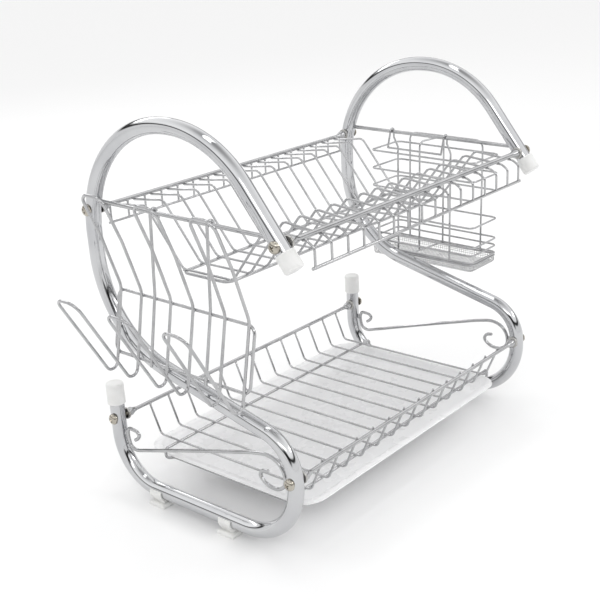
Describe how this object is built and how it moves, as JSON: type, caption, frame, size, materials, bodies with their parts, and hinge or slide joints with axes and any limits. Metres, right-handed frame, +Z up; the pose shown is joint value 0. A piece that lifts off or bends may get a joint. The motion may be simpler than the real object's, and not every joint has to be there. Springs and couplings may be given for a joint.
{
  "type": "dish drying rack",
  "caption": "Two-tier chromed dish drying rack with bent tube sides, wire plate and bowl baskets, a hook-on cup rack, a hook-on utensil basket and a slide-out drip tray.",
  "frame": {"origin": "middle of the overall footprint, on the worktop that the feet stand on", "axes": "+X from the cup rack end to the utensil basket end, -Y the front that the tray slides out to, +Z up"},
  "size_m": [0.5382, 0.262, 0.3891],
  "materials": {
    "tube_chrome": "bright plated",
    "wire_chrome": "bright plated",
    "bolt_plate": "nickel plated",
    "washer_plate": "nickel plated",
    "white_plastic": "satin moulded",
    "foot_plastic": "satin moulded",
    "tray_plastic": "translucent moulded"
  },
  "bodies": {
    "frame": {"bolt_lower_front_left": "bolt_plate", "bolt_lower_front_right": "bolt_plate", "bolt_lower_rear_left": "bolt_plate", "bolt_lower_rear_right": "bolt_plate", "bolt_upper_front_left": "bolt_plate", "bolt_upper_front_right": "bolt_plate", "bolt_upper_rear_left": "bolt_plate", "bolt_upper_rear_right": "bolt_plate", "foot_front_left": "foot_plastic", "foot_front_right": "foot_plastic", "foot_rear_left": "foot_plastic", "foot_rear_right": "foot_plastic", "front_cap_left": "white_plastic", "front_cap_right": "white_plastic", "lower_basket": "wire_chrome", "rear_cap_left": "white_plastic", "rear_cap_right": "white_plastic", "scroll_brace_left": "wire_chrome", "scroll_brace_right": "wire_chrome", "side_bar_left": "wire_chrome", "side_bar_right": "wire_chrome", "side_frame_left": "tube_chrome", "side_frame_right": "tube_chrome", "upper_basket": "wire_chrome", "washer_lower_front_left": "washer_plate", "washer_lower_front_right": "washer_plate", "washer_lower_rear_left": "washer_plate", "washer_lower_rear_right": "washer_plate", "washer_upper_front_left": "washer_plate", "washer_upper_front_right": "washer_plate", "washer_upper_rear_left": "washer_plate", "washer_upper_rear_right": "washer_plate"},
    "cup_rack": {"cup_rack": "wire_chrome"},
    "utensil_basket": {"utensil_basket": "wire_chrome", "utensil_mesh_pan": "wire_chrome"},
    "drip_tray": {"drip_tray": "tray_plastic"}
  },
  "joints": [
    {"name": "cup_rack_lift", "type": "slide", "parent": "frame", "child": "cup_rack", "axis": [0, 0, 1], "range_m": [0, 0.04]},
    {"name": "utensil_basket_lift", "type": "slide", "parent": "frame", "child": "utensil_basket", "axis": [0, 0, 1], "range_m": [0, 0.045]},
    {"name": "tray_slide", "type": "slide", "parent": "frame", "child": "drip_tray", "axis": [0, -1, 0], "range_m": [0, 0.2]}
  ]
}
